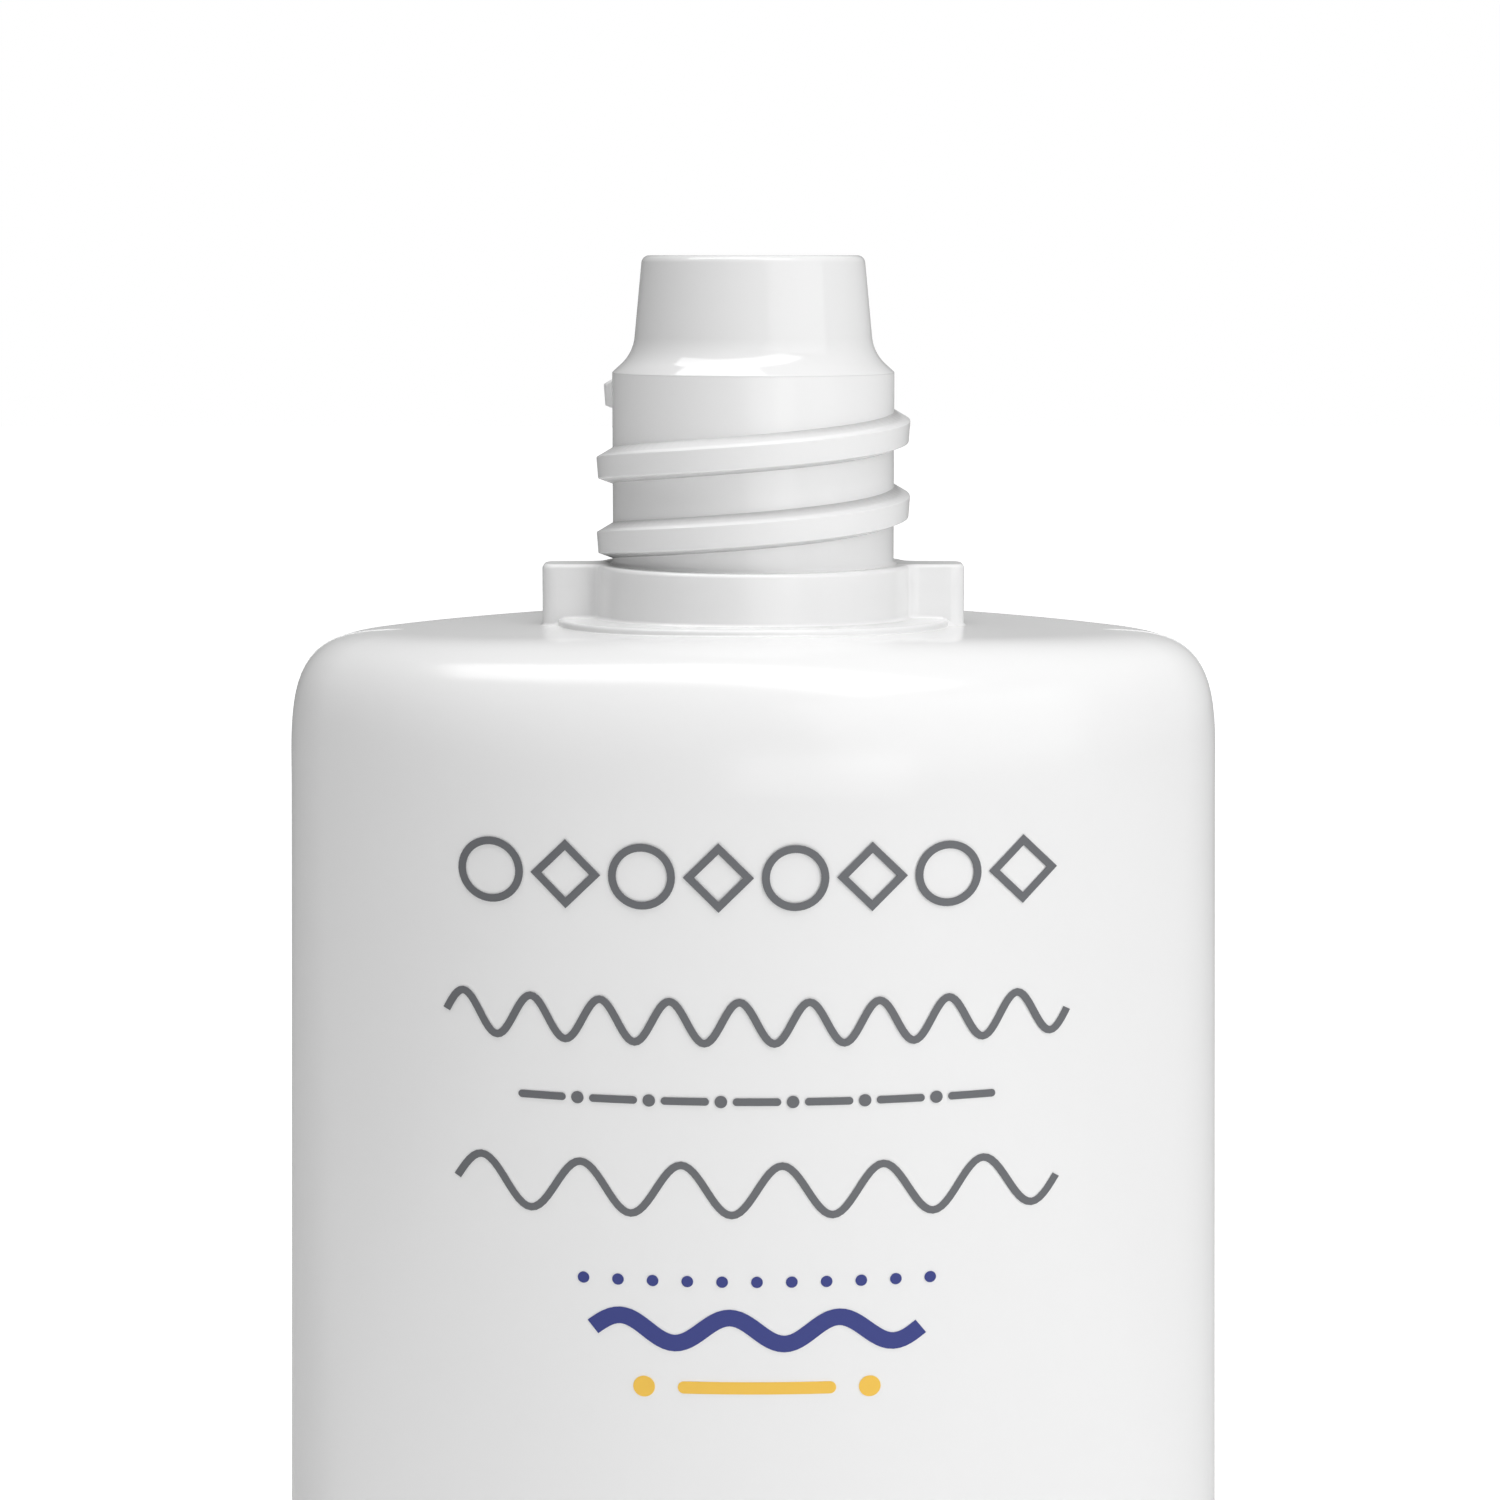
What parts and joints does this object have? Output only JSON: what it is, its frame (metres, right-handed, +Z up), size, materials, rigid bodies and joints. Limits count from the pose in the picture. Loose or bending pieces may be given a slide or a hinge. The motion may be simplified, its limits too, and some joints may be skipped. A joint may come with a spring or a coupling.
{
  "type": "squeeze bottle",
  "caption": "Oval squeeze bottle for sunscreen lotion, tapering to a thin end, with a winged collar, threaded neck and a plugged-in tapered nozzle; the cap is off.",
  "frame": {"origin": "centre of the standing face at the thin end, so the bottle stands neck up", "axes": "+Z up through the neck, X across the oval's width and along the two wings, the front face towards -Y"},
  "size_m": [0.0558, 0.035, 0.1336],
  "materials": {
    "shell_plastic": "satin white blown polyethylene",
    "nozzle_plastic": "glossy white moulded polyethylene",
    "lotion": "wet off-white lotion"
  },
  "bodies": {
    "root": {"bottle_shell": "shell_plastic", "nozzle_fitment": "nozzle_plastic", "lotion_fill": "lotion"}
  },
  "joints": []
}
